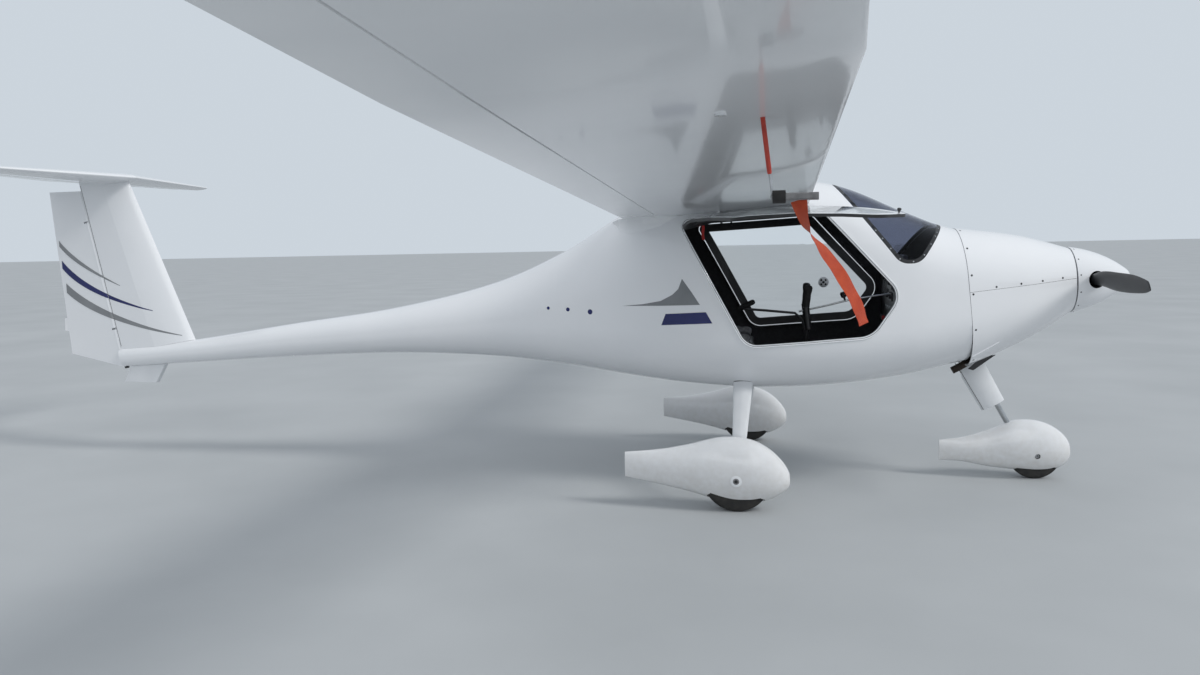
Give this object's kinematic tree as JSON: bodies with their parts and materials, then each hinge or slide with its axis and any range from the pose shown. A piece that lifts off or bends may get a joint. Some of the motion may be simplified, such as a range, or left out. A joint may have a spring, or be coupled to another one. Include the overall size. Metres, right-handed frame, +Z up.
{
  "type": "ultralight aircraft",
  "caption": "High-wing two-seat ultralight aircraft with T-tail, tricycle gear in wheel covers and upward-opening cabin doors, parked on its wheels.",
  "frame": {"origin": "middle of the overall box, on the ground under the wheels", "axes": "+X towards the propeller, +Y to the left wing tip, +Z up from the ground"},
  "size_m": [6.4287, 10.71, 1.8282],
  "materials": {
    "white_gelcoat": "glossy",
    "tinted_glazing": "clear, tinted",
    "clear_glazing": "clear",
    "cabin_lining": "matte",
    "seat_cloth": "matte",
    "panel_black": "matte",
    "grip_foam": "matte",
    "spar_metal": "satin",
    "engine_grey": "matte",
    "exhaust_steel": "satin",
    "blade_carbon": "satin",
    "tyre_rubber": "matte",
    "rim_alloy": "satin",
    "gear_steel": "satin",
    "hinge_steel": "satin",
    "pitot_red": "satin",
    "cover_grey": "matte",
    "ribbon_orange": "matte"
  },
  "bodies": {
    "airframe": {"cabin_shell": "white_gelcoat", "windshield": "tinted_glazing", "cabin_floor": "cabin_lining", "instrument_panel": "panel_black", "seat_left": "seat_cloth", "seat_right": "seat_cloth", "control_stick": "grip_foam", "spar_tube": "spar_metal", "cowl_upper": "white_gelcoat", "cowl_lower": "white_gelcoat", "engine_block": "engine_grey", "exhaust_pipe": "exhaust_steel", "tail_boom": "white_gelcoat", "fin": "white_gelcoat", "stabilizer": "white_gelcoat", "tail_bumper": "white_gelcoat", "wing_left": "white_gelcoat", "wing_right": "white_gelcoat", "door_hinges": "hinge_steel", "main_leg_left": "gear_steel", "main_leg_right": "gear_steel", "pant_left": "white_gelcoat", "pant_right": "white_gelcoat", "nose_leg": "gear_steel", "pitot_probe": "pitot_red", "pitot_cover": "cover_grey", "pitot_ribbon": "ribbon_orange"},
    "propeller": {"spinner": "white_gelcoat", "prop_blades": "blade_carbon"},
    "wheel_left": {"tyre_left": "tyre_rubber", "rim_left": "rim_alloy"},
    "wheel_right": {"tyre_right": "tyre_rubber", "rim_right": "rim_alloy"},
    "nose_steer": {"nose_fork": "gear_steel", "nose_pant": "white_gelcoat"},
    "nose_wheel": {"nose_tyre": "tyre_rubber", "nose_rim": "rim_alloy"},
    "aileron_left": {"flaperon_left": "white_gelcoat"},
    "aileron_right": {"flaperon_right": "white_gelcoat"},
    "tail_elevator": {"elevator": "white_gelcoat"},
    "tail_rudder": {"rudder": "white_gelcoat"},
    "door_left": {"door_left_frame": "white_gelcoat", "door_left_glass": "clear_glazing"},
    "door_right": {"door_right_frame": "white_gelcoat", "door_right_glass": "clear_glazing"}
  },
  "joints": [
    {"name": "propeller_spin", "type": "hinge", "parent": "airframe", "child": "propeller", "pos_m": [2.9127, 0, 1.065], "axis": [0.9986, 0, 0.0523], "continuous": true},
    {"name": "wheel_left_roll", "type": "hinge", "parent": "airframe", "child": "wheel_left", "pos_m": [1.2257, 0.8, 0.163], "axis": [0, 1, 0], "continuous": true},
    {"name": "wheel_right_roll", "type": "hinge", "parent": "airframe", "child": "wheel_right", "pos_m": [1.2257, -0.8, 0.163], "axis": [0, 1, 0], "continuous": true},
    {"name": "nose_steering", "type": "hinge", "parent": "airframe", "child": "nose_steer", "pos_m": [2.5787, 0, 0.404], "axis": [-0.4848, 0, 0.8746], "range_deg": [-20, 20]},
    {"name": "nose_wheel_roll", "type": "hinge", "parent": "nose_steer", "child": "nose_wheel", "pos_m": [2.7737, 0, 0.134], "axis": [0, 1, 0], "continuous": true},
    {"name": "flaperon_left_tilt", "type": "hinge", "parent": "airframe", "child": "aileron_left", "pos_m": [0.7767, 0, 1.43], "axis": [0, 0.9985, 0.0541], "range_deg": [-30, 20]},
    {"name": "flaperon_right_tilt", "type": "hinge", "parent": "airframe", "child": "aileron_right", "pos_m": [0.7767, 0, 1.43], "axis": [0, 0.9985, -0.0541], "range_deg": [-30, 20]},
    {"name": "elevator_tilt", "type": "hinge", "parent": "airframe", "child": "tail_elevator", "pos_m": [-2.9743, 0, 1.775], "axis": [0, 1, 0], "range_deg": [-15, 20]},
    {"name": "rudder_turn", "type": "hinge", "parent": "airframe", "child": "tail_rudder", "pos_m": [-2.7183, 0, 0.574], "axis": [-0.2092, 0, 0.9779], "range_deg": [-25, 25]},
    {"name": "door_left_swing", "type": "hinge", "parent": "airframe", "child": "door_left", "pos_m": [1.3257, 0.516, 1.443], "axis": [0.9986, 0, 0.0523], "range_deg": [0, 84]},
    {"name": "door_right_swing", "type": "hinge", "parent": "airframe", "child": "door_right", "pos_m": [1.3257, -0.516, 1.443], "axis": [0.9986, 0, 0.0523], "range_deg": [0, 84]}
  ]
}
